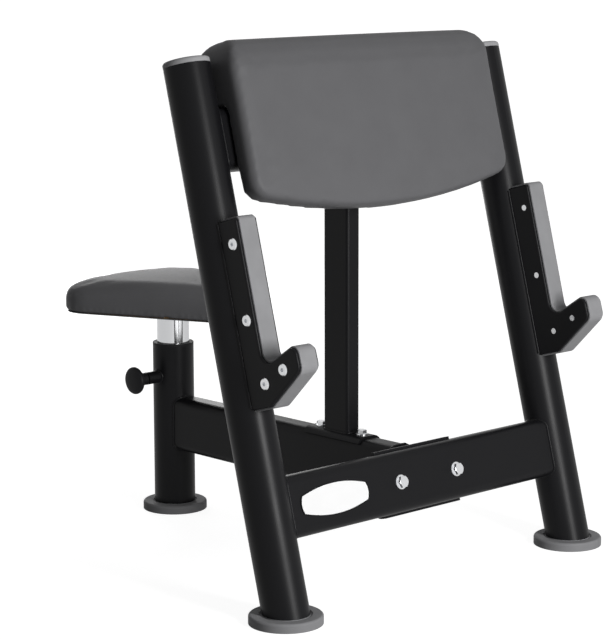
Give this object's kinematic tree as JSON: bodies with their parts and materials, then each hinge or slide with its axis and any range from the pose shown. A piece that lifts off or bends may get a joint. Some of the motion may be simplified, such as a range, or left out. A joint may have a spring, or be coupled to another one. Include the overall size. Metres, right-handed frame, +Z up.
{
  "type": "preacher curl bench",
  "caption": "Free-standing preacher curl bench with a leaning tube frame, padded arm rest, bar hooks and a height-adjustable seat locked by a pull pin.",
  "frame": {"origin": "on the floor under the middle of the bench", "axes": "+Z up, X across the bench, -Y to the front where the bar hooks are, +Y to the seat"},
  "size_m": [0.795, 0.8954, 0.8991],
  "materials": {
    "frame_coat": "satin black powder coat on steel",
    "grey_plastic": "mid grey moulded plastic",
    "grey_rubber": "dark grey moulded rubber",
    "vinyl": "dark grey grained vinyl over foam",
    "plywood": "raw plywood, hidden in the cushions",
    "chrome": "chrome plated steel tube",
    "zinc": "bright zinc plated steel",
    "black_plastic": "black moulded plastic"
  },
  "bodies": {
    "frame": {"left_upright": "frame_coat", "right_upright": "frame_coat", "lower_crossbeam": "frame_coat", "upper_crossbeam": "frame_coat", "spine_beam": "frame_coat", "spine_saddle": "frame_coat", "centre_post": "frame_coat", "post_saddle": "frame_coat", "rear_post": "frame_coat", "pin_housing": "frame_coat", "left_hook_outer_cheek": "frame_coat", "left_hook_inner_cheek": "frame_coat", "right_hook_outer_cheek": "frame_coat", "right_hook_inner_cheek": "frame_coat", "left_upright_cap": "grey_plastic", "right_upright_cap": "grey_plastic", "left_hook_core": "grey_plastic", "right_hook_core": "grey_plastic", "left_foot": "grey_rubber", "right_foot": "grey_rubber", "rear_foot": "grey_rubber", "arm_pad": "vinyl", "arm_pad_board": "plywood", "saddle_bolts": "zinc", "saddle_washers": "zinc", "saddle_nuts": "zinc", "post_bolts": "zinc", "post_washers": "zinc", "arm_pad_bolts": "zinc", "arm_pad_washers": "zinc", "left_hook_screws": "zinc", "right_hook_screws": "zinc", "seat_bush": "black_plastic"},
    "seat": {"seat_tube": "chrome", "seat_tube_plug": "black_plastic", "seat_plate": "frame_coat", "seat_board": "plywood", "seat_pad": "vinyl", "seat_screws": "zinc"},
    "pin": {"pull_pin": "zinc", "pull_knob": "black_plastic", "pin_spring": "zinc"}
  },
  "joints": [
    {"name": "seat_height", "type": "slide", "parent": "frame", "child": "seat", "axis": [0, 0, 1], "range_m": [0, 0.15]},
    {"name": "pin_pull", "type": "slide", "parent": "frame", "child": "pin", "axis": [-1, 0, 0], "range_m": [0, 0.009], "stiffness_N_per_m": 1500, "springref_m": -0.005, "deforming": ["pin_spring"]}
  ]
}
